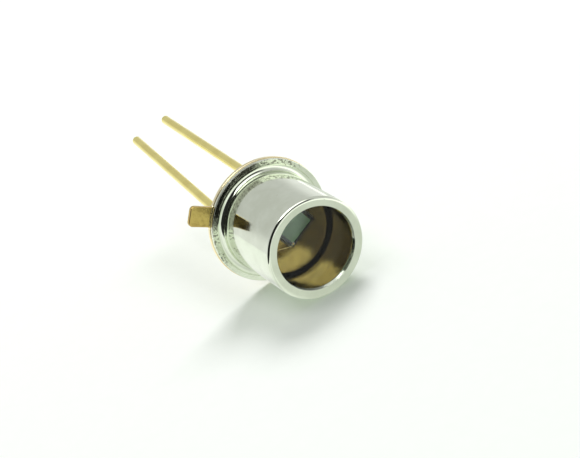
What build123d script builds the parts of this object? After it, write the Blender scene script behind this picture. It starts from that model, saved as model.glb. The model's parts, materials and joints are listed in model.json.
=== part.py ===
"""Metal-can photodiode with a flat window and two leads, lying on its side.

The can lies as it comes to rest: on the rim of its flange and the rounded rim of its front.
Every piece is built round the optical axis, on planes offset from the seating plane of the header.
Heights are measured along the optical axis from the seating plane, positive towards the window.
Clocking angles turn round the optical axis, from straight up, and count as seen from the front.
All lengths are in millimetres, all angles in degrees.
"""

from build123d import *
from math import asin, atan2, cos, degrees, hypot, radians, sin
import os

os.makedirs("parts", exist_ok=True)

# ---------------------------------------------------------------- driving dimensions

# nickel-plated cap, drawn from sheet
cap_sheet = 0.20
cap_diameter = 4.65
cap_height = 4.90                  # seating plane to the front face
cap_bend_radius = 0.26             # fillet outside, between flange and wall
cap_front_radius = 0.22            # rounding between wall and front
cap_flange_step = 0.03             # how far the flange stays inside the header's
aperture_diameter = 3.70
aperture_edge_chamfer = 0.10

# gold-plated header, an eyelet stamped from sheet
header_sheet = 0.22
header_flange_diameter = 5.80
header_clearance = 0.125           # platform wall to cap wall
header_bend_radius = 0.10          # inside bend between flange and platform wall
platform_height = 2.05             # seating plane to the face that carries the chip
platform_edge_chamfer = 0.05
lead_hole_clearance = 0.275        # glass round the insulated lead, in the platform's hole

# orientation tab of the header
tab_width = 0.95
tab_projection = 1.02              # beyond the flange
tab_corner_radius = 0.20
tab_root_radius = 0.12
tab_clocking = 57.7

# glass that fills the header
glass_rim_height = 0.36            # where the glass meets the wall
glass_hollow = 0.14                # how much deeper it lies at the axis

# leads
lead_diameter = 0.45
lead_circle_diameter = 2.54
lead_length = 14.5                 # below the seating plane, along the lead
lead_tip_chamfer = 0.04
anode_from_tab = 45.0              # clocking from the tab to the insulated lead
lead_bend_height = 0.05            # where the leads start to lean, just under the glass
lead_bend_radius = 6.0
lean_clocking = -58.2              # the side to which both leads lean
anode_lean = 4.5
cathode_lean = 1.8

# post of the insulated lead
post_height = 0.34                 # above the platform
post_head_diameter = 0.62
post_head_thickness = 0.10
post_head_edge_chamfer = 0.025

# window
window_thickness = 0.50
window_clearance = 0.05            # window edge to cap wall
window_edge_chamfer = 0.04

# chip and the layer that holds it
chip_size = 1.60
chip_thickness = 0.25
chip_offset_from_post = 0.30
chip_offset_sideways = 0.28
chip_rotation = 12.6               # of its edges from the line of the leads
die_attach_thickness = 0.03
die_attach_margin = 0.08           # how far it shows round the chip
die_attach_corner_radius = 0.12
contact_pad_size = 0.16
contact_pad_height = 0.01
contact_pad_inset = 0.13           # chip edge to the middle of the pad

# bond wire
wire_diameter = 0.03
wire_ball_diameter = 0.09
wire_ball_height = 0.04
wire_loop_height = 0.20            # above the ball
wire_loop_radius = 0.07
wire_foot_length = 0.20            # stretch that lies on the head of the post
wire_foot_radius = 0.12

# ---------------------------------------------------------------- derived dimensions

cap_radius = cap_diameter / 2
cap_bore_radius = cap_radius - cap_sheet
cap_front_underside = cap_height - cap_sheet
cap_flange_top = header_sheet + cap_sheet
aperture_radius = aperture_diameter / 2

header_flange_radius = header_flange_diameter / 2
cap_flange_radius = header_flange_radius - cap_flange_step
cap_bend = min(cap_bend_radius, (cap_flange_radius - cap_radius) / 2)
platform_radius = cap_bore_radius - header_clearance
header_bore_radius = platform_radius - header_sheet
platform_underside = platform_height - header_sheet

lead_radius = lead_diameter / 2
lead_circle_radius = lead_circle_diameter / 2
lead_hole_radius = lead_radius + lead_hole_clearance
lead_free_length = lead_length + lead_bend_height
post_top = platform_height + post_height

chip_underside = platform_height + die_attach_thickness
chip_face = chip_underside + chip_thickness
wire_start = chip_face + contact_pad_height + wire_ball_height

anode_clocking = tab_clocking + anode_from_tab
cathode_clocking = anode_clocking + 180
chip_clocking = anode_clocking + chip_rotation

# ---------------------------------------------------------------- resting attitude


def rest_angle(rim_radius, rim_height):
    """Nose-down angle of the line that touches a flange rim and the rounded front rim of the cap."""
    along = cap_height - cap_front_radius - rim_height
    down = rim_radius - (cap_radius - cap_front_radius)
    return degrees(atan2(down, along) - asin(cap_front_radius / hypot(along, down)))


# the part lies on whichever flange rim stands out further below the cap
nose_down = max(
    rest_angle(header_flange_radius, header_sheet),
    rest_angle(cap_flange_radius, cap_flange_top),
)

# ---------------------------------------------------------------- planes and directions

forward = Vector(cos(radians(nose_down)), 0, -sin(radians(nose_down)))
upward = Vector(sin(radians(nose_down)), 0, cos(radians(nose_down)))

optical_axis = Axis(origin=(0, 0, 0), direction=forward)
seating = Plane(origin=(0, 0, 0), x_dir=upward, z_dir=forward)
half_section = Plane(origin=(0, 0, 0), x_dir=upward, z_dir=(0, 1, 0))


def around(radius, clocking):
    """Point across the axis, in the coordinates of the seating plane."""
    return Vector(radius * cos(radians(clocking)), radius * sin(radians(clocking)))


def side_plane(foot, height, clocking):
    """Plane along the axis through a point across it: local X points to a clocking, local Y forward."""
    start = seating.from_local_coords(Vector(foot.X, foot.Y, height))
    ahead = seating.from_local_coords(around(1, clocking))
    return Plane(origin=start, x_dir=ahead, z_dir=ahead.cross(forward))


def corner(sketch, x, y):
    """The vertex of a sketch nearest to a point in the sketch's own coordinates."""
    return sketch.vertices().sort_by_distance((x, y, 0))[0]


anode_foot = around(lead_circle_radius, anode_clocking)
cathode_foot = around(lead_circle_radius, cathode_clocking)

chip_middle = around(-chip_offset_from_post, anode_clocking) + around(
    chip_offset_sideways, anode_clocking - 90
)
chip_seat = Plane(
    origin=seating.from_local_coords(Vector(chip_middle.X, chip_middle.Y, platform_height)),
    x_dir=seating.from_local_coords(around(1, chip_clocking)),
    z_dir=forward,
)

# ---------------------------------------------------------------- header eyelet

with BuildPart() as header_eyelet:
    # flange, platform wall and platform are one stamped sheet
    with BuildSketch(half_section) as eyelet_section:
        with BuildLine():
            Polyline(
                (0, platform_height),
                (platform_radius, platform_height),
                (platform_radius, header_sheet),
                (header_flange_radius, header_sheet),
                (header_flange_radius, 0),
                (header_bore_radius, 0),
                (header_bore_radius, platform_underside),
                (0, platform_underside),
                close=True,
            )
        make_face()
        chamfer(corner(eyelet_section, platform_radius, platform_height), platform_edge_chamfer)
        fillet(corner(eyelet_section, platform_radius, header_sheet), header_bend_radius)
        fillet(corner(eyelet_section, header_bore_radius, 0), header_bend_radius + header_sheet)
    revolve(axis=optical_axis)

    # orientation tab, in the plane of the flange
    tab_tip = around(header_flange_radius + tab_projection, tab_clocking)
    with BuildSketch(seating) as tab_outline:
        Circle(header_flange_radius)
        with PolarLocations(header_flange_radius, 1, start_angle=tab_clocking):
            Rectangle(2 * tab_projection, tab_width)
        fillet(tab_outline.vertices().sort_by_distance(tab_tip)[0:2], tab_corner_radius)
        fillet(tab_outline.vertices().sort_by_distance(tab_tip)[4:6], tab_root_radius)
        Circle(header_flange_radius - header_sheet, mode=Mode.SUBTRACT)
    extrude(amount=header_sheet)

    # hole for the insulated lead
    with BuildSketch(seating.offset(platform_underside)):
        with Locations(anode_foot):
            Circle(lead_hole_radius)
    extrude(amount=header_sheet, mode=Mode.SUBTRACT)

header_eyelet.part.label = "header_eyelet"
export_step(header_eyelet.part, "parts/header_eyelet.step")

# ---------------------------------------------------------------- glass of the header

with BuildPart() as header_glass:
    # fused to the eyelet's wall, with a hollow face underneath
    with BuildSketch(half_section):
        with BuildLine():
            TangentArc(
                (0, glass_rim_height + glass_hollow),
                (header_bore_radius, glass_rim_height),
                tangent=(1, 0),
            )
            Polyline(
                (header_bore_radius, glass_rim_height),
                (header_bore_radius, platform_underside),
                (0, platform_underside),
                (0, glass_rim_height + glass_hollow),
            )
        make_face()
    revolve(axis=optical_axis)

    # collar round the insulated lead, flush with the platform
    with BuildSketch(seating.offset(platform_underside)):
        with Locations(anode_foot):
            Circle(lead_hole_radius)
    extrude(amount=header_sheet)

    # both leads run through the glass
    with BuildSketch(seating):
        with Locations(anode_foot, cathode_foot):
            Circle(lead_radius)
    extrude(amount=platform_height, mode=Mode.SUBTRACT)

header_glass.part.label = "header_glass"
export_step(header_glass.part, "parts/header_glass.step")

# ---------------------------------------------------------------- insulated lead

with BuildPart() as anode_lead:
    with BuildLine(side_plane(anode_foot, 0, lean_clocking)):
        FilletPolyline(
            (0, post_top - post_head_thickness),
            (0, lead_bend_height),
            (
                lead_free_length * sin(radians(anode_lean)),
                lead_bend_height - lead_free_length * cos(radians(anode_lean)),
            ),
            radius=lead_bend_radius,
        )
    with BuildSketch(seating.offset(post_top - post_head_thickness)):
        with Locations(anode_foot):
            Circle(lead_radius)
    sweep()
    chamfer(anode_lead.edges().sort_by(optical_axis)[0], lead_tip_chamfer)

    # flattened head that takes the bond wire
    with BuildSketch(seating.offset(post_top - post_head_thickness)):
        with Locations(anode_foot):
            Circle(post_head_diameter / 2)
    extrude(amount=post_head_thickness)
    chamfer(anode_lead.edges().sort_by(optical_axis)[-1], post_head_edge_chamfer)

anode_lead.part.label = "anode_lead"
export_step(anode_lead.part, "parts/anode_lead.step")

# ---------------------------------------------------------------- lead joined to the header

with BuildPart() as cathode_lead:
    with BuildLine(side_plane(cathode_foot, 0, lean_clocking)):
        FilletPolyline(
            (0, platform_underside),
            (0, lead_bend_height),
            (
                lead_free_length * sin(radians(cathode_lean)),
                lead_bend_height - lead_free_length * cos(radians(cathode_lean)),
            ),
            radius=lead_bend_radius,
        )
    with BuildSketch(seating.offset(platform_underside)):
        with Locations(cathode_foot):
            Circle(lead_radius)
    sweep()
    chamfer(cathode_lead.edges().sort_by(optical_axis)[0], lead_tip_chamfer)

cathode_lead.part.label = "cathode_lead"
export_step(cathode_lead.part, "parts/cathode_lead.step")

# ---------------------------------------------------------------- layer under the chip

with BuildPart() as die_attach:
    with BuildSketch(chip_seat):
        RectangleRounded(
            chip_size + 2 * die_attach_margin,
            chip_size + 2 * die_attach_margin,
            die_attach_corner_radius,
        )
    extrude(amount=die_attach_thickness)

die_attach.part.label = "die_attach"
export_step(die_attach.part, "parts/die_attach.step")

# ---------------------------------------------------------------- chip

with BuildPart() as photodiode_chip:
    with BuildSketch(chip_seat.offset(die_attach_thickness)):
        Rectangle(chip_size, chip_size)
    extrude(amount=chip_thickness)

    # contact pad in the corner towards the post
    pad_place = chip_size / 2 - contact_pad_inset
    with BuildSketch(chip_seat.offset(die_attach_thickness + chip_thickness)):
        with Locations((pad_place, pad_place)):
            Rectangle(contact_pad_size, contact_pad_size)
    extrude(amount=contact_pad_height)

photodiode_chip.part.label = "photodiode_chip"
export_step(photodiode_chip.part, "parts/photodiode_chip.step")

# ---------------------------------------------------------------- bond wire

pad_middle = (
    chip_middle + around(pad_place, chip_clocking) + around(pad_place, chip_clocking + 90)
)
wire_span = (anode_foot - pad_middle).length
wire_clocking = degrees(
    atan2(anode_foot.Y - pad_middle.Y, anode_foot.X - pad_middle.X)
)
wire_foot_level = post_top + wire_diameter / 2 - wire_start

with BuildPart() as bond_wire:
    # from the ball up into a loop, then down to lie on the head of the post
    with BuildLine(side_plane(pad_middle, wire_start, wire_clocking)):
        FilletPolyline(
            (0, 0),
            (0, wire_loop_height),
            (wire_span - wire_foot_length / 2, wire_foot_level),
            (wire_span + wire_foot_length / 2, wire_foot_level),
            radius=[wire_loop_radius, wire_foot_radius],
        )
    with BuildSketch(seating.offset(wire_start)):
        with Locations(pad_middle):
            Circle(wire_diameter / 2)
    sweep()

    # ball pressed on the contact pad
    with BuildSketch(seating.offset(wire_start - wire_ball_height)):
        with Locations(pad_middle):
            Circle(wire_ball_diameter / 2)
    extrude(amount=wire_ball_height)

bond_wire.part.label = "bond_wire"
export_step(bond_wire.part, "parts/bond_wire.step")

# ---------------------------------------------------------------- cap

with BuildPart() as cap:
    # flange, wall and front are one drawn sheet
    with BuildSketch(half_section) as cap_section:
        with BuildLine():
            Polyline(
                (cap_flange_radius, header_sheet),
                (cap_flange_radius, cap_flange_top),
                (cap_radius, cap_flange_top),
                (cap_radius, cap_height),
                (aperture_radius, cap_height),
                (aperture_radius, cap_front_underside),
                (cap_bore_radius, cap_front_underside),
                (cap_bore_radius, header_sheet),
                close=True,
            )
        make_face()
        fillet(corner(cap_section, cap_radius, cap_flange_top), cap_bend)
        fillet(corner(cap_section, cap_bore_radius, header_sheet), cap_bend + cap_sheet)
        fillet(corner(cap_section, cap_radius, cap_height), cap_front_radius)
        chamfer(corner(cap_section, aperture_radius, cap_height), aperture_edge_chamfer)
    revolve(axis=optical_axis)

cap.part.label = "cap"
export_step(cap.part, "parts/cap.step")

# ---------------------------------------------------------------- window

with BuildPart() as window_glass:
    with BuildSketch(seating.offset(cap_front_underside)):
        Circle(cap_bore_radius - window_clearance)
    extrude(amount=-window_thickness)
    chamfer(window_glass.edges(), window_edge_chamfer)

window_glass.part.label = "window_glass"
export_step(window_glass.part, "parts/window_glass.step")
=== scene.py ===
"""Metal-can photodiode with a flat window and two gilt leads, lying on its side.

Each sub-assembly is a class. Its sizes are its fields, in millimetres and degrees, and its methods
work the surfaces out with numpy and dress them. Points across the can are given in the can's own
axes: up across it, sideways across it, and forward along its optical axis from the seating plane.
"""

import json
import logging
import math
from dataclasses import dataclass
from enum import Enum
from functools import reduce
from typing import Optional, Sequence

import bpy
import numpy as np
from mathutils import Matrix, Vector
from numpy.typing import NDArray


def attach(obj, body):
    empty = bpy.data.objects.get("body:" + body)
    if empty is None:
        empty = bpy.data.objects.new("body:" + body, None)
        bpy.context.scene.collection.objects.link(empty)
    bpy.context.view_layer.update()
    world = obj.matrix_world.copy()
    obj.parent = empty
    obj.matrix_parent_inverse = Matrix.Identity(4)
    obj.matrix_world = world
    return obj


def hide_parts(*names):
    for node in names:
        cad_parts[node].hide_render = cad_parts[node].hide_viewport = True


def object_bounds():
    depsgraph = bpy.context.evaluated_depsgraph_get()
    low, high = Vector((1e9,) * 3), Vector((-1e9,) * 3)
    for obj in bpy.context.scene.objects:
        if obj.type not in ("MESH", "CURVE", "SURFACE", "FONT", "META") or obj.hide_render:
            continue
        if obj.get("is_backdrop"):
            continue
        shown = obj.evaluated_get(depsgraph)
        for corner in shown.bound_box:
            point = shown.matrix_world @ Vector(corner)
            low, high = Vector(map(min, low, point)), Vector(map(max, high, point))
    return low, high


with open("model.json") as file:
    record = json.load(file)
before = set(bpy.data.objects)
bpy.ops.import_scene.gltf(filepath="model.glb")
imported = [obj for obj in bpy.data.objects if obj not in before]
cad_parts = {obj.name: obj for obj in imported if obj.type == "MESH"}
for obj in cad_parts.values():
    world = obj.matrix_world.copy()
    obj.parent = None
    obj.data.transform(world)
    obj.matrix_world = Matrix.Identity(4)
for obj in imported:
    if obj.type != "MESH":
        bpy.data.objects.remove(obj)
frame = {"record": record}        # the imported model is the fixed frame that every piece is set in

Array = NDArray[np.float64]
Piece = bpy.types.Object
Socket = bpy.types.NodeSocket
Span = tuple[float, float]
Triple = tuple[float, float, float]
Colour = Triple
MM = 1e-3
log = logging.getLogger("photodiode")


# ------------ directions


def unit(vectors: Array) -> Array:
    """Vectors brought to a length of one, along the last axis."""
    return vectors / np.linalg.norm(vectors, axis=-1, keepdims=True)


def circle(count: int) -> Array:
    """Angles of a full turn in even steps, in radians, without its end."""
    return np.linspace(0, 2 * np.pi, count, endpoint=False)


def rays(angle: Array) -> Array:
    """Unit vectors (cosine, sine) at angles in radians, one row each."""
    return np.stack([np.cos(angle), np.sin(angle)], 1)


def around(radius: float, clocking: float) -> Array:
    """Point across the axis at a radius and a clocking from straight up, in the can's axes."""
    return radius * np.array([math.cos(math.radians(clocking)), math.sin(math.radians(clocking))])


@dataclass(frozen=True)
class CanAxes:
    """The can's own directions in the frame.

    The origin is the middle of the lead circle in the seating plane, in millimetres, and forward
    is the unit vector along the optical axis, out of the window.
    """

    origin: Array
    forward: Array

    @property
    def sideways(self) -> Array:
        """Unit vector across the can and level with the floor: forward crossed with straight up."""
        return unit(np.cross(self.forward, [0.0, 0.0, 1.0]))

    @property
    def upward(self) -> Array:
        """Unit vector across the can that points most nearly straight up."""
        return np.cross(self.sideways, self.forward)

    def place(
        self, up: Array, side: Array, ahead: Array, middle: Sequence[float] = (0.0, 0.0),
        clocking: float = 0.0
    ) -> Array:
        """Turn coordinates in the can's axes into points of the frame.

        The first two may start from another middle and be turned round the axis by a clocking c:
        up becomes middle + up cos c - side sin c, and side becomes middle + up sin c + side cos c.

        Args:
            up: Distance across the can, upward.
            side: Distance across the can, sideways.
            ahead: Height along the optical axis.
            middle: Point across the can that the first two start from.
            clocking: How far the first two are turned.

        Returns:
            Points with a last axis of three, in millimetres.
        """
        c, s = around(1.0, clocking)
        turned = (middle[0] + up * c - side * s, middle[1] + up * s + side * c, ahead)
        up, side, ahead = (part[..., None] for part in np.broadcast_arrays(*turned))
        return self.origin + up * self.upward + side * self.sideways + ahead * self.forward

    def spin(self, section: Array, columns: int, middle: Sequence[float] = (0.0, 0.0)) -> Array:
        """Carry a section of (radius, height) round: (radius cos a, radius sin a, height)."""
        radius, angle = section[:, :1], circle(columns)
        return self.place(radius * np.cos(angle), radius * np.sin(angle), section[:, 1:], middle)


# the footprint mount stands at the can's origin, and its axis points out of the header's back
FOOTPRINT = next(m for m in frame["record"]["mounts"] if m["name"] == "footprint")
AXES = CanAxes(np.array(FOOTPRINT["pos_m"], float) / MM, -unit(np.array(FOOTPRINT["axis"], float)))


# ------------ outlines and surfaces


def rounded_outline(
    corners: Sequence[Triple], closed: bool = False, arc_steps: int = 8,
    longest_run: float = 0.4, guard: float = 0.012
) -> Array:
    """Outline through corner points, where each corner is turned by an arc of its own radius.

    The arc of a corner is the circle tangent to both of its runs: its centre lies on the bisector
    at radius / sin(half angle), and its points turn evenly from one tangent point to the other.
    A straight run has a guard point just off each arc, so that it stays flat when shaded.

    Args:
        corners: (x, y, radius) of each corner, in order.
        closed: Whether the outline joins its last corner to its first.
        arc_steps: Steps in each arc.
        longest_run: Longest step on a straight run.
        guard: Distance of a guard point from its arc.

    Returns:
        Points of the outline, one row each.
    """
    points = np.array([c[:2] for c in corners], float)
    turns: list[Array] = []
    for i, (here, corner) in enumerate(zip(points, corners)):
        radius = corner[2]
        if radius <= 0 or (not closed and i in (0, len(corners) - 1)):
            turns.append(here[None])
            continue
        back, on = unit(points[i - 1] - here), unit(points[(i + 1) % len(points)] - here)
        half = math.acos(np.clip(back @ on, -1, 1)) / 2
        reach = radius / math.tan(half)
        centre = here + unit(back + on) * radius / math.sin(half)
        first, last = here + back * reach - centre, here + on * reach - centre
        swing = math.pi - 2 * half
        t = np.linspace(0, 1, arc_steps + 1)[:, None]
        turned = np.sin((1 - t) * swing) * first + np.sin(t * swing) * last
        turns.append(centre + turned / math.sin(swing))
    rows: list[Array] = []
    for i, turn in enumerate(turns):
        rows.append(turn)
        if i == len(turns) - 1 and not closed:
            break
        start, end = turn[-1], turns[(i + 1) % len(turns)][0]
        length = float(np.linalg.norm(end - start))
        if length > 3 * guard:
            inner = np.linspace(guard, length - guard, max(2, math.ceil(length / longest_run) + 1))
            rows.append(start + (end - start) * (inner / length)[:, None])
    return np.vstack(rows)


def grid_quads(index: Array, loop_rows: bool, loop_columns: bool) -> Array:
    """Faces between the neighbours of a grid.

    Args:
        index: Number of each point, rows by columns.
        loop_rows: Whether the last row joins the first.
        loop_columns: Whether the last column joins the first.

    Returns:
        Four corners of each face.
    """
    far = np.roll(index, -1, 0)
    faces = np.stack([index, far, np.roll(far, -1, 1), np.roll(index, -1, 1)], -1)
    faces = faces if loop_rows else faces[:-1]
    faces = faces if loop_columns else faces[:, :-1]
    return faces.reshape(-1, 4)


@dataclass
class Surface:
    """A grid of points that becomes a closed mesh: rows run along it and columns round it.

    Its last row joins its first, or else both its ends close on a pole. Pattern coordinates may be
    given, in millimetres, and are the points where they aren't.
    """

    points: Array
    loop_rows: bool = False
    lay: Optional[Array] = None

    def mesh(self) -> tuple[Array, Array, list[list[int]]]:
        """Vertices, pattern coordinates and faces of the closed grid, with its faces outward.

        The signed volume is the sum, over the triangles, of a . (b x c) / 6. Where it is negative,
        each face is listed the other way round.

        Returns:
            Vertices, pattern coordinates and faces.
        """
        rows, columns = self.points.shape[:2]
        vertices = self.points.reshape(-1, 3)
        lay = (self.points if self.lay is None else self.lay).reshape(-1, 3)
        index = np.arange(rows * columns).reshape(rows, columns)
        quads = grid_quads(index, self.loop_rows, True)
        faces, triangles = quads.tolist(), [quads[:, [0, 1, 2]], quads[:, [0, 2, 3]]]
        if not self.loop_rows:
            first, last = index[0], index[-1]
            poles = np.full((2, columns), len(vertices)) + [[0], [1]]
            start = np.stack([poles[0], first, np.roll(first, -1)], 1)
            fans = np.vstack([start, np.stack([poles[1], np.roll(last, -1), last], 1)])
            vertices, lay = (
                np.vstack([part, part[first].mean(0), part[last].mean(0)])
                for part in (vertices, lay)
            )
            triangles.append(fans)
            faces += fans.tolist()
        a, b, c = np.moveaxis(vertices[np.vstack(triangles)] - vertices.mean(0), 1, 0)
        if np.einsum("ij,ij->", a, np.cross(b, c)) / 6 < 0:
            faces = [face[::-1] for face in faces]
        return vertices, lay, faces


# ------------ finishes


class Lie(Enum):
    """What a finish's pattern follows."""

    CAN = "object coordinates, turned so that Z runs along the optical axis"
    SURFACE = "the piece's own coordinates, with Z along its length"


class Nodes:
    """The node tree of a material or a world while it is being wired."""

    def __init__(self, owner: bpy.types.ID) -> None:
        """Start from an empty tree.

        Args:
            owner: The material or world.
        """
        owner.use_nodes = True
        self.tree = owner.node_tree
        self.tree.nodes.clear()

    def put(self, socket: Socket, value: object) -> None:
        """Link a socket to another one, or set it; a colour of three parts gets an alpha of 1.

        Args:
            socket: Input of a node.
            value: Output of another node, or a constant.
        """
        if isinstance(value, bpy.types.NodeSocket):
            self.tree.links.new(value, socket)
        else:
            plain = socket.type == "RGBA" and len(value) == 3
            socket.default_value = (*value, 1.0) if plain else value

    def add(self, kind: str, **values: object) -> bpy.types.Node:
        """Add a node and put each value on the input of its name, or on the node itself.

        Args:
            kind: Type of the node.
            **values: Values by name, with two underscores for a space.

        Returns:
            The node.
        """
        node = self.tree.nodes.new(kind)
        for key, value in values.items():
            name = key.replace("__", " ")
            if name in node.inputs:
                self.put(node.inputs[name], value)
            else:
                setattr(node, key, value)
        return node

    def join(
        self, kind: str, places: Sequence[int], *values: object, **own: object
    ) -> bpy.types.Node:
        """Add a node with its own settings, and put values on the inputs at some places.

        Args:
            kind: Type of the node.
            places: Places of the inputs.
            *values: Their values.
            **own: Settings by name.

        Returns:
            The node.
        """
        node = self.add(kind, **own)
        for place, value in zip(places, values):
            self.put(node.inputs[place], value)
        return node

    def maths(self, operation: str, *values: object) -> Socket:
        """A Math node on one to three values or sockets."""
        return self.join("ShaderNodeMath", (0, 1, 2), *values, operation=operation).outputs[0]

    def blend(self, share: Socket, first: object, second: object) -> Socket:
        """Colour between two colours or sockets, by a share from 0 to 1."""
        node = self.join("ShaderNodeMix", (0, 6, 7), share, first, second, data_type="RGBA")
        return node.outputs[2]

    def mix(self, share: Socket, first: Socket, second: Socket) -> Socket:
        """Shader between two shaders, by a share from 0 to 1."""
        return self.join("ShaderNodeMixShader", (0, 1, 2), share, first, second).outputs[0]

    def level(
        self, value: Socket, low: float, high: float, to_low: float = 0.0, to_high: float = 1.0
    ) -> Socket:
        """Value taken smoothly from one range to another and held at its ends."""
        values, smooth = (value, low, high, to_low, to_high), {"interpolation_type": "SMOOTHSTEP"}
        return self.join("ShaderNodeMapRange", range(5), *values, **smooth).outputs[0]

    def part(self, vector: Socket, name: str) -> Socket:
        """One of the X, Y and Z parts of a vector."""
        return self.add("ShaderNodeSeparateXYZ", Vector=vector).outputs[name]


class Graph(Nodes):
    """A material's node tree, with the pattern coordinates of its finish in millimetres."""

    def __init__(self, material: bpy.types.Material, lie: Lie) -> None:
        """Start the tree and its pattern coordinates.

        Args:
            material: The material.
            lie: What the pattern follows.
        """
        super().__init__(material)
        if lie is Lie.CAN:
            tilt = math.atan2(-AXES.forward[2], AXES.forward[0])
            mapping = self.add(
                "ShaderNodeMapping", Scale=(1 / MM,) * 3, Rotation=(0, -math.pi / 2 - tilt, 0),
                Vector=self.add("ShaderNodeTexCoord").outputs["Object"]
            )
            self.lay: Socket = mapping.outputs[0]
        else:
            self.lay = self.add("ShaderNodeAttribute", attribute_name="lay").outputs["Vector"]

    def noise(
        self, scale: float, detail: float = 3, rough: float = 0.55, at: Optional[Socket] = None
    ) -> Socket:
        """Fractal noise with its scale in waves per millimetre."""
        values = {"Vector": at or self.lay, "Scale": scale, "Detail": detail, "Roughness": rough}
        return self.add("ShaderNodeTexNoise", **values).outputs[0]

    def cells(self, scale: float) -> Socket:
        """Distance to the nearest of scattered points, in cells."""
        return self.add("ShaderNodeTexVoronoi", Vector=self.lay, Scale=scale).outputs["Distance"]

    def relief(self, height: Socket, depth: float, **under: Socket) -> Socket:
        """Bumped normal of a height from 0 to 1 that is a depth in millimetres, over another."""
        values = {"Height": height, "Distance": depth * MM, "Strength": 1.0}
        return self.add("ShaderNodeBump", **values, **under).outputs[0]

    def from_axis(self) -> Socket:
        """Distance of a point from the optical axis: the root of X squared and Y squared."""
        squares = [self.maths("POWER", self.part(self.lay, name), 2.0) for name in "XY"]
        return self.maths("SQRT", self.maths("ADD", *squares))

    def principled(self, **values: object) -> Socket:
        """The general shader, with values or sockets on its inputs."""
        return self.add("ShaderNodeBsdfPrincipled", **values).outputs[0]


class Finish:
    """A finish: it has a name, and a way to wire its shader."""

    name: str
    lie = Lie.CAN

    def wire(self, g: Graph) -> Socket:
        """Wire the shader in the material's graph; each finish has its own way."""
        raise NotImplementedError

    def material(self) -> bpy.types.Material:
        """Make the material.

        Returns:
            The material.
        """
        material = bpy.data.materials.new(self.name)
        g = Graph(material, self.lie)
        g.add("ShaderNodeOutputMaterial", Surface=self.wire(g))
        return material


@dataclass(frozen=True)
class Patch:
    """A part of the surface painted with shade, a dark reflection or a highlight, between
    clockings, radii and heights.

    Its sector reaches half its width to both sides of its clocking, where 180 is a full turn. It
    takes a share of its colour, its lower and upper ends are soft, and it may break into specks,
    given as waves in a millimetre.
    """

    clocking: float
    half: float
    radii: Span
    heights: Span
    colour: Colour
    share: float = 0.95
    soft: float = 0.05
    specks: float = 0.0

    def cover(self, g: Graph) -> Socket:
        """How far the patch covers a point: the product of the shares of all its bounds.

        The pattern's X and Y run against the can's own up and sideways, so the sector's middle is
        half a turn on. A point is in the sector where its direction's dot product with the middle
        is above the cosine of the half width. That edge is ragged and six degrees soft.

        Args:
            g: Graph of the material.

        Returns:
            The share, from 0 to 1.
        """
        out, height, blur = g.from_axis(), g.part(g.lay, "Z"), 0.01
        (inner, outer), (low, high) = self.radii, self.heights
        bounds = [
            g.level(out, inner - blur, inner + blur, 0.0, self.share),
            g.level(out, outer - blur, outer + blur, 1.0, 0.0),
            g.level(height, low, low + self.soft),
            g.level(height, high - self.soft, high, 1.0, 0.0),
        ]
        if self.specks > 0:
            bounds.append(g.level(g.noise(self.specks, 2, 0.5), 0.52, 0.60))
        if self.half < 180:
            middle = zip("XY", around(1.0, self.clocking + 180).tolist())
            towards = [g.maths("MULTIPLY", g.part(g.lay, name), way) for name, way in middle]
            near = g.maths("DIVIDE", g.maths("ADD", *towards), out)
            ragged = g.level(g.noise(3.0, 4), 0.3, 0.7, -0.03, 0.03)
            ends = [math.cos(math.radians(self.half + soft)) for soft in (6, -6)]
            bounds.append(g.level(g.maths("ADD", near, ragged), *ends))
        return reduce(lambda first, second: g.maths("MULTIPLY", first, second), bounds)


@dataclass(frozen=True)
class Plating(Finish):
    """Plated metal: a mirror with fine orange peel, lines along its length and stray pits.

    The colour clouds over to the dull one, and may have tarnished blotches, and patches that paint
    shade, dark reflections and highlights. Peel, lines and foot are depths, and each scale is waves
    in a millimetre. The foot is a coarser hammered peel on a flange, from a distance off the axis
    outward.
    """

    name: str
    colour: Colour
    dull: Colour
    roughness: Span = (0.12, 0.24)
    peel: float = 0.0008
    peel_scale: float = 7.0
    lines: float = 0.0004
    lie: Lie = Lie.CAN
    foot: float = 0.0
    foot_from: float = 2.60
    foot_scale: float = 7.0
    patches: tuple[Patch, ...] = ()
    tarnish: Colour = (0.0, 0.0, 0.0)
    tarnish_share: float = 0.0

    def wire(self, g: Graph) -> Socket:
        """Wire clouds, pits, tarnish and patches into the colour, and reliefs into the normal.

        Args:
            g: Graph of the material.

        Returns:
            The shader.
        """
        colour = g.blend(g.level(g.noise(0.9, 4), 0.35, 0.68), self.colour, self.dull)
        pit = g.level(g.cells(1.7), 0.015, 0.05, 0.5, 0.0)
        colour = g.blend(pit, colour, tuple(0.25 * c for c in self.dull))
        if self.tarnish_share > 0:
            blotch = g.level(g.noise(2.6, 5, 0.7), 0.42, 0.62, 0.0, self.tarnish_share)
            colour = g.blend(blotch, colour, self.tarnish)
        # Patches paint shade, dark reflections and highlights over the colour.
        for patch in self.patches:
            colour = g.blend(patch.cover(g), colour, patch.colour)
        stretched = g.add("ShaderNodeMapping", Scale=(14.0, 14.0, 0.35), Vector=g.lay).outputs[0]
        normal = g.relief(g.noise(self.peel_scale, 2, 0.5), self.peel)
        normal = g.relief(g.noise(1.0, 3, 0.6, stretched), self.lines, Normal=normal)
        if self.foot > 0:
            beyond = g.level(g.from_axis(), self.foot_from, self.foot_from + 0.06)
            hammered = g.maths("MULTIPLY", g.noise(self.foot_scale, 3, 0.6), beyond)
            normal = g.relief(hammered, self.foot, Normal=normal)
        return g.principled(
            Base__Color=colour, Metallic=1.0,
            Roughness=g.level(g.noise(2.3, 5, 0.65), 0.3, 0.7, *self.roughness), Normal=normal
        )


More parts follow.
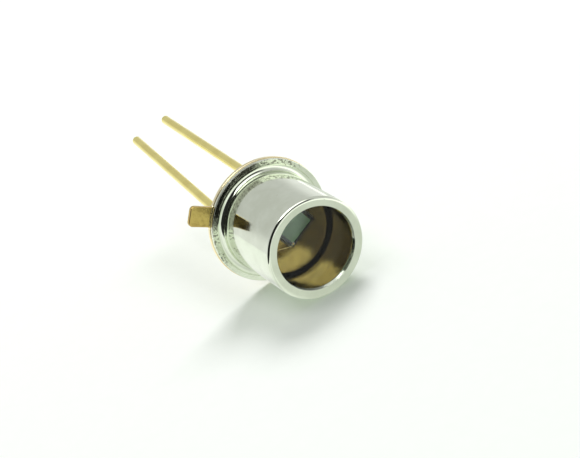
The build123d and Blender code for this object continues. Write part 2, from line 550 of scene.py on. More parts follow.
@dataclass(frozen=True)
class ClearGlass(Finish):
    """Clear window glass, coated against reflections, hence its low index of refraction."""

    name: str = "window_glass_clear"
    tint: Colour = (0.97, 0.99, 0.98)
    ior: float = 1.22

    def wire(self, g: Graph) -> Socket:
        """Wire glass with faint haze and specks, which lets the lamps through to what lies behind.

        Args:
            g: Graph of the material.

        Returns:
            The shader.
        """
        haze = g.level(g.noise(1.4, 4, 0.6), 0.4, 0.75, 0.0, 0.05)
        speck = g.level(g.cells(2.6), 0.02, 0.06, 0.10, 0.0)
        rough = g.maths("ADD", haze, speck)
        glass = g.principled(
            Base__Color=self.tint, Roughness=rough, IOR=self.ior, Transmission__Weight=1.0
        )
        clear = g.add("ShaderNodeBsdfTransparent", Color=self.tint).outputs[0]
        return g.mix(g.add("ShaderNodeLightPath").outputs["Is Shadow Ray"], glass, clear)


@dataclass(frozen=True)
class CloudyGlass(Finish):
    """Grey sealing glass, translucent, with streaks, small bubbles and a fire-polished skin."""

    name: str = "sealing_glass_grey"
    colour: Colour = (0.42, 0.44, 0.46)
    streaks: Colour = (0.25, 0.27, 0.29)
    bubbles: Colour = (0.7, 0.72, 0.74)

    def wire(self, g: Graph) -> Socket:
        """Wire streaks and bubbles into the colour of a translucent glass.

        Args:
            g: Graph of the material.

        Returns:
            The shader.
        """
        streak = g.level(g.noise(1.1, 5, 0.6), 0.35, 0.7)
        bubble = g.level(g.cells(5.0), 0.04, 0.10, 0.5, 0.0)
        return g.principled(
            Base__Color=g.blend(bubble, g.blend(streak, self.colour, self.streaks), self.bubbles),
            Roughness=g.level(g.noise(4.0), 0.3, 0.7, 0.06, 0.16), IOR=1.5, Subsurface__Weight=0.35,
            Subsurface__Scale=0.0004, Normal=g.relief(g.noise(3.0, 2), 0.002)
        )


@dataclass(frozen=True)
class CoatedSilicon(Finish):
    """Face of the die: a coated light-sensitive square inside a dark border.

    The middle lies across the can, the clocking is that of the edges, half is half the side, and
    the face is the height of the top. The coating drifts from its active colour to the far one.
    """

    name: str
    middle: Span
    clocking: float
    half: float
    border: float
    face: float
    active: Colour = (0.17, 0.30, 0.155)
    active_far: Colour = (0.235, 0.40, 0.235)
    cloud: Colour = (0.10, 0.15, 0.15)
    edge: Colour = (0.014, 0.020, 0.028)

    def wire(self, g: Graph) -> Socket:
        """Wire a square of coating, where the larger of |x| and |y| from the middle is small.

        Args:
            g: Graph of the material.

        Returns:
            The shader.
        """
        centred = g.add(
            "ShaderNodeMapping", vector_type="TEXTURE",
            Location=(-self.middle[0], -self.middle[1], 0),
            Rotation=(0, 0, math.radians(self.clocking)), Vector=g.lay
        ).outputs[0]
        out = g.maths("MAXIMUM", *(g.maths("ABSOLUTE", g.part(centred, name)) for name in "XY"))
        edge = self.half - self.border
        inside = g.level(out, edge - 0.006, edge + 0.006, 1.0, 0.0)
        top = g.level(g.part(g.lay, "Z"), self.face - 0.004, self.face - 0.001)
        drift = g.level(g.part(centred, "X"), -self.half, self.half)
        coat = g.blend(drift, self.active, self.active_far)
        coat = g.blend(g.level(g.noise(2.0, 4), 0.35, 0.7, 0.0, 0.35), coat, self.cloud)
        return g.principled(
            Base__Color=g.blend(g.maths("MULTIPLY", inside, top), self.edge, coat),
            Roughness=g.level(g.noise(6.0), 0.3, 0.7, 0.10, 0.22), IOR=2.0,
            Normal=g.relief(g.noise(12.0, 2), 0.0004)
        )


@dataclass(frozen=True)
class SilverPaste(Finish):
    """Cured paste that holds the die: dull grey metal flakes in resin."""

    name: str = "silver_paste"
    resin: Colour = (0.16, 0.15, 0.13)
    flakes: Colour = (0.45, 0.42, 0.36)

    def wire(self, g: Graph) -> Socket:
        """Wire one fine noise into the colour, the roughness and the relief.

        Args:
            g: Graph of the material.

        Returns:
            The shader.
        """
        grain = g.noise(30.0, 4, 0.7)
        return g.principled(
            Base__Color=g.blend(g.level(grain, 0.3, 0.7), self.resin, self.flakes), Metallic=0.6,
            Roughness=g.level(grain, 0.3, 0.7, 0.4, 0.7), Normal=g.relief(grain, 0.004)
        )


@dataclass(frozen=True)
class PalePaper(Finish):
    """Pale floor and backdrop that show as white and keep the part's shadow.

    The glow is seen only by the camera and by rays that leave metal or glass, so it lights nothing.
    Metal sees the tones, a painted reflection of lighter and darker floor that only mirrored rays
    see; they lie at distances along the frame's X plus slant times its Y, and evened is their share
    in what it sees.
    """

    name: str = "pale_paper"
    colour: Colour = (0.80, 0.80, 0.80)
    glow: Colour = (0.070, 0.110, 0.062)
    # Painted reflection: the floor's brightness as metal mirrors it, stop by stop along the floor.
    tones: tuple[tuple[float, Colour], ...] = (
        (-14.0, (1.10, 1.12, 1.08)),
        (-9.0, (1.05, 1.07, 1.03)),
        (-5.0, (0.76, 0.78, 0.74)),
        (-1.5, (1.14, 1.17, 1.11)),
        (3.0, (0.82, 0.85, 0.78)),
        (8.0, (0.68, 0.71, 0.65)),
        (20.0, (0.66, 0.69, 0.63)),
        (30.0, (1.20, 1.22, 1.17)),
        (60.0, (1.80, 1.80, 1.75)),
    )
    slant: float = 2.5
    evened: float = 0.75

    def wire(self, g: Graph) -> Socket:
        """Wire matt paper with a faint fibre, its glow, and the tones as a ramp along the floor.

        Args:
            g: Graph of the material.

        Returns:
            The shader.
        """
        fibre = g.level(g.noise(1.5, 5, 0.6), 0.3, 0.7)
        colour = g.blend(fibre, self.colour, tuple(0.99 * c for c in self.colour))
        paper = g.add("ShaderNodeBsdfDiffuse", Color=colour).outputs[0]
        path = g.add("ShaderNodeLightPath").outputs
        seen = [path[f"Is {ray} Ray"] for ray in ("Camera", "Transmission", "Glossy")]
        lit = reduce(lambda first, second: g.maths("MAXIMUM", first, second), seen)
        glow = g.add("ShaderNodeEmission", Color=self.glow, Strength=lit).outputs[0]
        both = g.join("ShaderNodeAddShader", (0, 1), paper, glow).outputs[0]
        place = g.add("ShaderNodeTexCoord").outputs["Object"]
        along = g.maths("MULTIPLY_ADD", g.part(place, "Y"), self.slant, g.part(place, "X"))
        first, last = self.tones[0][0], self.tones[-1][0]
        share = g.add("ShaderNodeMapRange", Value=along, From__Min=first * MM, From__Max=last * MM)
        ramp = g.add("ShaderNodeValToRGB", Fac=share.outputs[0])
        stops = ramp.color_ramp.elements
        for distance, tone in self.tones[1:-1]:
            stops.new((distance - first) / (last - first)).color = (*tone, 1)
        stops[0].color, stops[-1].color = (*self.tones[0][1], 1), (*self.tones[-1][1], 1)
        # Painted reflection: the tones glow only for mirrored rays, in place of most of the lit
        # floor.
        even = g.add("ShaderNodeEmission", Color=ramp.outputs[0], Strength=1.0).outputs[0]
        return g.mix(g.maths("MULTIPLY", path["Is Glossy Ray"], self.evened), both, even)


@dataclass(frozen=True)
class DarkCloth(Finish):
    """Dark cloth for a painted dark reflection, that fades out towards its edges, by the share that
    its points carry.
    """

    name: str = "dark_flag_cloth"
    colour: Colour = (0.02, 0.02, 0.02)
    soft_from: float = 0.88

    def wire(self, g: Graph) -> Socket:
        """Wire an even dark tone that turns clear from a share of the way to the edge.

        Args:
            g: Graph of the material.

        Returns:
            The shader.
        """
        fade = g.add("ShaderNodeAttribute", attribute_name="fade").outputs["Fac"]
        dark = g.add("ShaderNodeEmission", Color=self.colour, Strength=1.0).outputs[0]
        clear = g.add("ShaderNodeBsdfTransparent").outputs[0]
        return g.mix(g.level(fade, self.soft_from, 1.0), dark, clear)


def link(name: str, data: bpy.types.ID) -> Piece:
    """Make an object of its data and put it in the scene.

    Args:
        name: Name of the object.
        data: Its mesh, lamp or camera.

    Returns:
        The object.
    """
    piece = bpy.data.objects.new(name, data)
    bpy.context.scene.collection.objects.link(piece)
    return piece


def dress(name: str, points: Array, faces: list, finish: Finish) -> Piece:
    """Make an object of points and faces, in its finish, at the origin.

    Args:
        name: Name of the object.
        points: Its points, in millimetres.
        faces: Corners of each face.
        finish: Its finish.

    Returns:
        The object, in metres.
    """
    mesh = bpy.data.meshes.new(name)
    mesh.from_pydata((points.reshape(-1, 3) * MM).tolist(), [], faces)
    mesh.materials.append(finish.material())
    return link(name, mesh)


def build(
    name: str, surfaces: Sequence[Surface], node: Optional[str], finish: Finish
) -> Piece:
    """Make one smooth, dressed object of closed surfaces, riding on the part.

    Args:
        name: Name of the piece.
        surfaces: Its closed surfaces, in millimetres.
        node: CAD node that it stands for, if any.
        finish: Its finish.

    Returns:
        The object, at the origin, in metres.
    """
    vertices, lays, faces, offset = [], [], [], 0
    for surface in surfaces:
        points, lay, own = surface.mesh()
        vertices.append(points)
        lays.append(lay)
        faces += [[corner + offset for corner in face] for face in own]
        offset += len(points)
    piece = dress(name, np.vstack(vertices), faces, finish)
    pattern = piece.data.attributes.new("lay", "FLOAT_VECTOR", "POINT")
    pattern.data.foreach_set("vector", np.vstack(lays).astype(np.float32).ravel())
    piece.data.shade_smooth()
    piece.data.update()
    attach(piece, "root")
    if node:
        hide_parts(node)
    return piece


# ------------ cap


@dataclass
class DrawnCap:
    """The nickel-plated cap, drawn from one sheet: flange, wall and front ring.

    The flange's top falls by its dish from the rim to the root, and the aperture has a slanted
    land, given by how wide and how deep it is.
    """

    sheet: float = 0.20
    radius: float = 2.325
    height: float = 4.90
    flange_radius: float = 2.87
    flange_foot: float = 0.22
    flange_dish: float = 0.08
    bend_radius: float = 0.22
    front_radius: float = 0.15
    aperture_radius: float = 1.85
    aperture_land: Span = (0.06, 0.13)
    land_edge: float = 0.02
    aperture_edge: float = 0.015
    edge: float = 0.03
    columns: int = 288
    finish: Plating = Plating(
        "nickel_plate_drawn", colour=(0.775, 0.83, 0.70), dull=(0.71, 0.76, 0.63),
        roughness=(0.07, 0.14), peel=0.0006, lines=0.0003, foot=0.016, foot_scale=9.0,
        patches=(
            # Painted shade: one side of the inside wall, darkened almost to black.
            Patch(252.0, 48.0, (0.0, 2.15), (2.0, 4.66), (0.045, 0.045, 0.054)),
            # Painted shade: the inside wall all round, darkened low down by the platform.
            Patch(0.0, 180.0, (0.0, 2.15), (1.0, 2.75), (0.12, 0.11, 0.09), 0.75, 0.35),
            # Partly real specks, partly painted dark reflection: specks darken a sector of the
            # flange's top.
            Patch(27.0, 80.0, (2.60, 2.86), (0.3, 0.5), (0.12, 0.11, 0.09), 0.7, specks=8.0),
            # Painted dark reflection: a narrower sector of the flange's top, darkened.
            Patch(31.0, 38.0, (2.60, 2.88), (0.3, 0.5), (0.16, 0.15, 0.13), 0.6),
        )
    )

    def profile(self) -> Array:
        """Section of the sheet, a closed outline with rounded edges.

        Returns:
            Radius and height of each point.
        """
        bore, aperture = self.radius - self.sheet, self.aperture_radius
        top, under = self.flange_foot + self.sheet, self.height - self.sheet
        corners = [
            (self.flange_radius, self.flange_foot, self.edge),
            (self.flange_radius, top, self.edge),
            (self.radius, top - self.flange_dish, self.bend_radius),
            (self.radius, self.height, self.front_radius),
            (aperture + self.aperture_land[0], self.height, self.land_edge),
            (aperture, self.height - self.aperture_land[1], self.aperture_edge),
            (aperture, under, self.aperture_edge),
            (bore, under, self.edge),
            (bore, self.flange_foot, self.bend_radius + self.sheet),
        ]
        return rounded_outline(corners, closed=True, arc_steps=12)

    def make(self) -> list[Piece]:
        """Carry the section round the axis."""
        skin = Surface(AXES.spin(self.profile(), self.columns), loop_rows=True)
        return [build("drawn_cap", [skin], "cap", self.finish)]


@dataclass
class FlatWindow:
    """The disc of clear glass fused behind the cap's front ring."""

    radius: float = 2.075
    thickness: float = 0.50
    top: float = 4.70
    edge: float = 0.04
    pole: float = 0.02
    columns: int = 192
    finish: ClearGlass = ClearGlass()

    def make(self) -> list[Piece]:
        """Carry half the disc's section round the axis, from one pole to the other.

        Returns:
            The piece.
        """
        low = self.top - self.thickness
        rim = [(self.radius, self.top, self.edge), (self.radius, low, self.edge)]
        half = rounded_outline([(self.pole, self.top, 0), *rim, (self.pole, low, 0)], arc_steps=4)
        skin = Surface(AXES.spin(half, self.columns))
        return [build("flat_window", [skin], "window_glass", self.finish)]


# ------------ header


@dataclass
class StampedHeader:
    """The gold-plated eyelet, stamped from one sheet with its orientation tab, and its glass.

    The skin's rows slide between outlines over the platform's and the flange's blends and over
    the rim's inset. The glass climbs the wall and the leads by its two creeps, each a height and
    how fast it falls off.
    """

    sheet: float = 0.22
    flange_radius: float = 2.90
    platform_radius: float = 2.00
    platform_height: float = 2.05
    platform_edge: float = 0.05
    platform_blend: float = 0.10
    flange_blend: float = 0.35
    bend_radius: float = 0.10
    rim_edge: float = 0.045
    rim_inset: float = 0.12
    hole_radius: float = 0.50
    hole_at: Span = (1.27, 102.7)
    tab_width: float = 0.95
    tab_projection: float = 1.02
    tab_corner_radius: float = 0.20
    tab_root_radius: float = 0.12
    tab_clocking: float = 57.7
    glass_rim: float = 0.36
    glass_hollow: float = 0.14
    wall_creep: Span = (0.05, 0.10)
    lead_creep: Span = (0.10, 0.07)
    lead_radius: float = 0.225
    finish: Plating = Plating(
        "gold_plate_stamped", colour=(0.68, 0.52, 0.18), dull=(0.55, 0.40, 0.125),
        peel=0.0020, peel_scale=5.0, lines=0.0003, tarnish=(0.40, 0.28, 0.09), tarnish_share=0.6,
        patches=(
            # Painted shade: the platform's top inside the can, darkened towards brown.
            Patch(0.0, 180.0, (0.0, 2.02), (1.95, 2.2), (0.34, 0.24, 0.09), 0.4),
            # Painted highlight: the flange's outer rim, painted pale cream.
            Patch(0.0, 180.0, (2.85, 2.94), (-0.1, 0.24), (0.97, 0.88, 0.60), 0.9),
        )
    )
    glass: CloudyGlass = CloudyGlass()

    def outline(self) -> Array:
        """Outline of the flange and its tab, seen along the axis, with the tab on the first axis.

        The tab's root arcs are tangent to the flange's circle and to the tab's side: their centres
        lie at flange radius plus root radius from the axis. The rest are arcs and straight runs.

        Returns:
            Points across the axis, one turn, in the tab's own directions.
        """
        rim, root, half = self.flange_radius, self.tab_root_radius, self.tab_width / 2
        corner, tip = self.tab_corner_radius, self.flange_radius + self.tab_projection
        centre = np.array([math.sqrt((rim + root) ** 2 - (half + root) ** 2), half + root])
        meets = math.atan2(centre[1], centre[0])
        root_arc = centre + root * rays(np.linspace(meets + math.pi, 1.5 * math.pi, 9))
        side = np.linspace([centre[0], half], [tip - corner, half], 9)[1:-1]
        tip_arc = [tip - corner, half - corner] + corner * rays(np.linspace(math.pi / 2, 0, 9))
        end = np.linspace([tip, half - corner], [tip, corner - half], 11)[1:-1]
        upper = np.vstack([root_arc, side, tip_arc])
        rest = rim * rays(np.linspace(2 * math.pi - meets, meets, 220)[1:-1])
        return np.vstack([upper, end, upper[::-1] * [1, -1], rest])

    def rows(self) -> Array:
        """Rows of the eyelet's skin, from the hole across the platform, out, back under and up.

        On the platform, a row is a circle whose centre slides from the hole to the axis while its
        radius grows. On the wall it is a circle round the axis. On the flange it slides from a
        circle to the outline, and on the rim it is the outline moved in along its own normal.

        Returns:
            Rows by columns by (across, across, height).
        """
        outline = self.outline()
        tangent = np.roll(outline, -1, 0) - np.roll(outline, 1, 0)
        normal = unit(np.stack([tangent[:, 1], -tangent[:, 0]], 1))
        ray = rays(np.arctan2(outline[:, 1], outline[:, 0]))
        hole = around(self.hole_at[0], self.hole_at[1] - self.tab_clocking)
        sheet, top = self.sheet, self.platform_height
        step, inset = self.platform_blend, self.rim_inset
        under, bore = top - sheet, self.platform_radius - sheet
        safe = self.flange_radius - self.flange_blend

        def level(points: Array, height: float) -> Array:
            """Row of points at one height."""
            return np.column_stack([points, np.full(len(points), height)])

        def platform(t: float, outer: float, height: float) -> Array:
            """Row between the hole's circle and a circle round the axis."""
            return level((1 - t) * hole + ((1 - t) * self.hole_radius + t * outer) * ray, height)

        def flange(t: float, height: float) -> Array:
            """Row between a circle inside the flange and the moved-in outline."""
            return level((1 - t) * safe * ray + t * (outline + inset * normal), height)

        wall = rounded_outline(
            [
                (self.platform_radius - step, top, 0),
                (self.platform_radius, top, self.platform_edge),
                (self.platform_radius, sheet, self.bend_radius),
                (safe, sheet, 0),
            ]
        )
        bend = (bore, 0, self.bend_radius + sheet)
        inside = rounded_outline(
            [(safe, 0, 0), bend, (bore, under, 0.02), (bore - step, under, 0)], arc_steps=10
        )
        rim = rounded_outline(
            [(inset, sheet, 0), (0, sheet, self.rim_edge), (0, 0, self.rim_edge), (inset, 0, 0)]
        )
        shares = (0.0, 0.012, 0.25, 0.5, 0.75)
        rows = [platform(t, self.platform_radius - step, top) for t in shares]
        rows += [level(r * ray, h) for r, h in wall]
        rows += [flange(t, sheet) for t in (0.3, 0.6, 0.9)]
        rows += [level(outline + way_in * normal, h) for way_in, h in rim]
        rows += [flange(t, 0) for t in (0.9, 0.6, 0.3)]
        rows += [level(r * ray, h) for r, h in inside]
        rows += [platform(t, bore - step, under) for t in shares[::-1]]
        rows += [platform(0, 1.0, h) for h in np.linspace(under, top, 5)[1:-1]]
        return np.stack(rows)

    def glass_skin(self) -> list[Surface]:
        """The glass plug, with its hollow back and its creep up wall and leads, and the collar.

        With the distance d from the wall or from a lead, the glass climbs by creep height times
        exp(-d / creep length). The back lies at rim + wall creep + hollow (1 - (r / bore)^2), less
        that climb.

        Returns:
            The closed skins of the plug and of the collar round the insulated lead.
        """
        bore, under = self.platform_radius - self.sheet, self.platform_height - self.sheet
        radius, angle = np.linspace(0.01, bore, 90)[:, None], circle(216)
        foot = around(*self.hole_at)
        up, side = radius * np.cos(angle), radius * np.sin(angle)
        climb = self.wall_creep[0] * np.exp(-(bore - radius) / self.wall_creep[1])
        for end in (foot, -foot):
            away = np.maximum(np.hypot(up - end[0], side - end[1]) - self.lead_radius, 0)
            climb = climb + self.lead_creep[0] * np.exp(-away / self.lead_creep[1])
        rim = self.glass_rim + self.wall_creep[0]
        back = rim + self.glass_hollow * (1 - (radius / bore) ** 2) - climb
        wall = np.linspace(0, 1, 6)[1:, None]
        edge = back[-1] * (1 - wall) + under * wall
        ends = (bore * np.linspace(1, 0.01, 8)[1:])[:, None]
        up = np.vstack([up, np.repeat(up[-1:], 5, 0), ends * np.cos(angle)])
        side = np.vstack([side, np.repeat(side[-1:], 5, 0), ends * np.sin(angle)])
        ahead = np.vstack([back, edge, np.full((7, len(angle)), under)])
        low, high, wide, pole = under - 0.01, self.platform_height, self.hole_radius, 0.02
        ring = [(wide, low, 0.01), (wide, high, 0.02)]
        collar = rounded_outline([(pole, low, 0), *ring, (pole, high, 0)])
        return [Surface(AXES.place(up, side, ahead)), Surface(AXES.spin(collar, 96, foot))]

    def make(self) -> list[Piece]:
        """Make the eyelet and its glass.

        Returns:
            The two pieces.
        """
        across, level, ahead = np.moveaxis(self.rows(), -1, 0)
        points = AXES.place(across, level, ahead, clocking=self.tab_clocking)
        skin = [Surface(points, loop_rows=True)]
        return [
            build("stamped_eyelet", skin, "header_eyelet", self.finish),
            build("sealing_glass", self.glass_skin(), "header_glass", self.glass),
        ]


# ------------ leads


class Joining(Enum):
    """How a lead is held by the header."""

    THROUGH_GLASS = "insulated, through the platform"
    UNDER_PLATFORM = "joined to the underside of the platform"


@dataclass
class Lead:
    """A round gold-plated wire that leans to one side below the header."""

    name: str
    node: str
    joining: Joining
    clocking: float
    lean: float
    lean_clocking: float = -58.2
    circle_radius: float = 1.27
    radius: float = 0.225
    length: float = 14.5
    bend_height: float = 0.05
    bend_radius: float = 6.0
    tip_edge: float = 0.045
    head_radius: float = 0.31
    head_thickness: float = 0.10
    post_top: float = 2.39
    platform_underside: float = 1.83
    pole: float = 0.01
    columns: int = 48
    finish: Plating = Plating(
        "gold_plate_wire", colour=(0.92, 0.82, 0.30), dull=(0.84, 0.73, 0.25),
        roughness=(0.10, 0.20), peel=0.0006, lines=0.0006, lie=Lie.SURFACE
    )

    @property
    def top(self) -> float:
        """Height of the lead's upper end."""
        return self.post_top if self.joining is Joining.THROUGH_GLASS else self.platform_underside

    def section(self) -> Array:
        """Distance along the lead from its top and radius there, from pole to pole.

        Returns:
            Points of the section, one row each.
        """
        if self.joining is Joining.THROUGH_GLASS:
            under = self.head_thickness
            head = [(0.0, self.head_radius, 0.03), (under, self.head_radius, 0.03)]
            head += [(under, self.radius, 0.02)]
        else:
            head = [(0.0, self.radius, 0.02)]
        total = self.top + self.length
        tip = [(total, self.radius, self.tip_edge), (total, self.pole, 0.0)]
        return rounded_outline([(0.0, self.pole, 0.0), *head, *tip], arc_steps=6, longest_run=0.2)

    def make(self) -> list[Piece]:
        """Carry the section along the lead's centre line: straight, an arc, then straight again.

        On the arc the line has turned by a = distance / bend radius, so it has gone sideways by
        bend radius (1 - cos a) and down by bend radius sin a.

        Returns:
            The piece.
        """
        along, radius = self.section().T[..., None]
        lean, bend = math.radians(self.lean), self.bend_radius
        straight = self.top - self.bend_height - bend * math.tan(lean / 2)
        turned = np.clip((along - straight) / bend, 0, lean)
        rest = np.maximum(along - straight - bend * lean, 0)
        out = bend * (1 - np.cos(turned)) + rest * math.sin(lean)
        down = np.minimum(along, straight) + bend * np.sin(turned) + rest * math.cos(lean)
        angle = circle(self.columns)
        across, level = radius * np.cos(angle), radius * np.sin(angle)
        points = AXES.place(
            out + across * np.cos(turned), level, self.top - down + across * np.sin(turned),
            around(self.circle_radius, self.clocking), self.lean_clocking
        )
        lay = np.stack([across, level, np.repeat(along, self.columns, 1)], -1)
        skin = [Surface(points, lay=lay)]
        return [build(self.name, skin, self.node, self.finish)]


# ------------ die and bond wire


@dataclass
class Die:
    """The silicon die, the paste that holds it and its contact pad."""

    size: float = 1.60
    thickness: float = 0.25
    paste_thickness: float = 0.03
    paste_margin: float = 0.08
    platform_height: float = 2.05
    anode_clocking: float = 102.7
    offset_from_post: float = 0.30
    offset_sideways: float = 0.28
    rotation: float = 12.6
    pad_size: float = 0.16
    pad_height: float = 0.01
    pad_sunk: float = 0.004
    pad_inset: float = 0.13
    border: float = 0.15
    pole: float = 0.05
    pad_metal: Plating = Plating(
        "pad_metal", (0.50, 0.49, 0.45), (0.38, 0.37, 0.34), roughness=(0.3, 0.45)
    )

    @property
    def middle(self) -> Array:
        """Middle of the die across the can."""
        sideways = around(self.offset_sideways, self.anode_clocking - 90)
        return around(-self.offset_from_post, self.anode_clocking) + sideways

    @property
    def clocking(self) -> float:
        """Clocking of the die's first edge direction."""
        return self.anode_clocking + self.rotation

    @property
    def face(self) -> float:
        """Height of the die's face."""
        return self.platform_height + self.paste_thickness + self.thickness

    @property
    def pad_middle(self) -> Array:
        """Middle of the contact pad across the can."""
        reach = self.size / 2 - self.pad_inset
        return self.middle + around(reach, self.clocking) + around(reach, self.clocking + 90)

    def slab(
        self, middle: Array, side: float, heights: Span, corner: float, edge: float, wave: float = 0
    ) -> list[Surface]:
        """A square slab from pole to pole: an outline scaled in and out while its height changes.

        A wavy outline is the square times 1 + wave (sin(5 a + 1) + 0.7 sin(9 a)) / half side, with
        the angle a round it.

        Args:
            middle: Middle across the can.
            side: Side of the square.
            heights: Heights of its underside and top.
            corner: Radius of the square's corners.
            edge: Radius of its top and bottom edges.
            wave: How far its outline wanders in and out.

        Returns:
            The closed surface.
        """
        half, (low, high) = side / 2, heights
        signs = ((1, 1), (-1, 1), (-1, -1), (1, -1))
        square = rounded_outline(
            [(x * half, y * half, corner) for x, y in signs], True, longest_run=0.06, guard=0.006
        )
        turn = np.arctan2(square[:, 1], square[:, 0])
        wander = wave * (np.sin(5 * turn + 1) + 0.7 * np.sin(9 * turn))
        square = square * (1 + wander / half)[:, None]
        rim, pole = [(half, low, edge), (half, high, edge)], self.pole
        section = rounded_outline(
            [(pole, low, 0), *rim, (pole, high, 0)], arc_steps=3, guard=0.004
        )
        up, across = (section[:, :1] / half * square[:, i] for i in (0, 1))
        return [Surface(AXES.place(up, across, section[:, 1:], middle, self.clocking))]

    def make(self) -> list[Piece]:
        """Make the paste, the die and the pad.

        Returns:
            The three pieces.
        """
        floor, face = self.platform_height, self.face
        bed = floor + self.paste_thickness
        spread = self.size + 2 * self.paste_margin
        paste = self.slab(self.middle, spread, (floor, bed), corner=0.12, edge=0.012, wave=0.008)
        die = self.slab(self.middle, self.size, (bed, face), corner=0.01, edge=0.006)
        pad_heights = (face - self.pad_sunk, face + self.pad_height)
        pad = self.slab(self.pad_middle, self.pad_size, pad_heights, corner=0.02, edge=0.004)
        coat = CoatedSilicon(
            "coated_silicon", tuple(self.middle), self.clocking, self.size / 2, self.border, face
        )
        return [
            build("die_paste", paste, "die_attach", SilverPaste()),
            build("silicon_die", die, "photodiode_chip", coat),
            build("contact_pad", pad, None, self.pad_metal),
        ]


@dataclass
class BondWire:
    """The fine gold wire from the die's pad to the head of the insulated lead."""

    start: Array
    start_height: float
    end: Array
    end_height: float
    radius: float = 0.015
    ball_radius: float = 0.045
    ball_height: float = 0.04
    loop_height: float = 0.20
    foot_length: float = 0.20
    foot_spread: float = 0.07
    end_taper: float = 0.02
    columns: int = 24
    finish: Plating = Plating(
        "bond_gold_soft", (0.98, 0.80, 0.42), (0.92, 0.72, 0.36), roughness=(0.15, 0.25)
    )

    def make(self) -> list[Piece]:
        """Carry a round section along the loop, wide at the ball and flattened at the foot.

        The line is a cubic curve of Bernstein weights through four control points, which rises
        straight from the ball and comes down flat on the head of the lead. A bell curve,
        exp(-(d / spread)^2) at the distance d from the middle of the foot, widens and flattens it.

        Returns:
            The piece.
        """
        span = self.end - self.start
        reach, clocking = float(np.linalg.norm(span)), math.degrees(math.atan2(span[1], span[0]))
        rise = self.end_height + self.radius - self.start_height
        t = np.linspace(0, 1, 120)
        weights = np.stack([(1 - t) ** 3, 3 * t * (1 - t) ** 2, 3 * t**2 * (1 - t), t**3], 1)
        line = weights @ np.array(
            [
                [0.0, self.ball_height], [0.0, self.ball_height + 1.5 * self.loop_height],
                [reach - 2.2 * self.foot_length, rise + 0.02], [reach + self.foot_length / 2, rise]
            ]
        )
        run = unit(np.gradient(line, axis=0))
        along = np.concatenate([[0], np.cumsum(np.linalg.norm(np.diff(line, axis=0), axis=1))])
        left = along[-1] - along
        foot = np.exp(-(((left - 0.5 * self.foot_length) / self.foot_spread) ** 2))
        taper = self.radius * np.sqrt(np.clip(left / self.end_taper, 0.05, 1))
        angle = circle(self.columns)
        level = (taper * (1 + 0.9 * foot))[:, None] * np.sin(angle)
        across = (taper * (1 - 0.35 * foot))[:, None] * np.cos(angle)
        brim, crest = (self.ball_radius, 0, 0.015), (self.ball_radius, self.ball_height, 0.018)
        ball = rounded_outline(
            [(0.005, 0, 0), brim, crest, (0.005, self.ball_height + 0.004, 0)], guard=0.002
        )
        parts = (
            (ball[:, :1] * np.cos(angle), ball[:, :1] * np.sin(angle), ball[:, 1:]),
            (line[:, :1] - across * run[:, 1:], level, line[:, 1:] + across * run[:, :1]),
        )
        skins = [
            Surface(AXES.place(out, wide, self.start_height + high, self.start, clocking))
            for out, wide, high in parts
        ]
        return [build("gold_wire", skins, "bond_wire", self.finish)]


# ------------ studio


@dataclass(frozen=True)
class Softbox:
    """A soft square lamp that hangs in a direction from the part and faces it."""

    name: str
    towards: Triple
    distance: float
    side: float
    power: float
    mirrored: bool = True

    def hang(self) -> None:
        """Hang the lamp, turned so that its back points along its direction."""
        lamp = bpy.data.lights.new(self.name, "AREA")
        lamp.shape, lamp.size, lamp.energy = "SQUARE", self.side * MM, self.power
        holder = link(self.name, lamp)
        way = Vector(self.towards).normalized()
        holder.location = way * self.distance * MM
        holder.rotation_euler = way.to_track_quat("Z", "Y").to_euler()
        holder.visible_glossy = self.mirrored


def hang_sheet(name: str, points: Array, finish: Finish) -> Piece:
    """Make an open sheet of the studio from a grid of points.

    Args:
        name: Name of the sheet.
        points: Its grid, rows by columns by three, in millimetres.
        finish: Its finish.

    Returns:
        The sheet, as part of the stage.
    """
    index = np.arange(points.size // 3).reshape(points.shape[:2])
    sheet = dress(name, points, grid_quads(index, False, False)[:, ::-1].tolist(), finish)
    sheet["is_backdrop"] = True
    return sheet


@dataclass(frozen=True)
class DarkFlag:
    """A curved dark cloth over the camera, which only the can's bright metal mirrors: a painted
    dark reflection that casts no shadow.

    It lies on a sphere whose centre is some way ahead on the optical axis, between two tilts from
    that axis and two clockings. The cut takes its upper edge back at its start, over the step.
    """

    distance: float = 20.0
    ahead: float = 2.5
    tilts: Span = (34.0, 108.0)
    clockings: Span = (-48.0, 108.0)
    cut: float = 46.0
    step: Span = (14.0, 32.0)
    cloth: DarkCloth = DarkCloth()

    def hang(self) -> None:
        """Hang the flag: a patch of a sphere round the can.

        Its points lie at a tilt from the optical axis and at a clocking round it: direction =
        cos(tilt) forward + sin(tilt) (cos(clocking) up + sin(clocking) sideways). Its upper edge is
        cut back smoothly towards its start. Its points carry how near its edges they are.
        """
        u, v = np.meshgrid(np.linspace(0, 1, 81), np.linspace(0, 1, 41))
        clocking = self.clockings[0] + u * (self.clockings[1] - self.clockings[0])
        t = np.clip((self.step[1] - clocking) / (self.step[1] - self.step[0]), 0, 1)
        high = self.tilts[1] - self.cut * t * t * (3 - 2 * t)
        tilt, turn = np.radians(self.tilts[0] + v * (high - self.tilts[0])), np.radians(clocking)
        out, ahead = self.distance * np.sin(tilt), self.distance * np.cos(tilt) + self.ahead
        points = AXES.place(out * np.cos(turn), out * np.sin(turn), ahead)
        flag = hang_sheet("dark_flag", points, self.cloth)
        fade = np.maximum(np.abs(2 * u - 1), np.abs(2 * v - 1)).ravel().astype(np.float32)
        flag.data.attributes.new("fade", "FLOAT", "POINT").data.foreach_set("value", fade)
        # Painted dark reflection: the flag shows only in mirrors and shades nothing.
        flag.visible_camera = flag.visible_diffuse = flag.visible_shadow = False


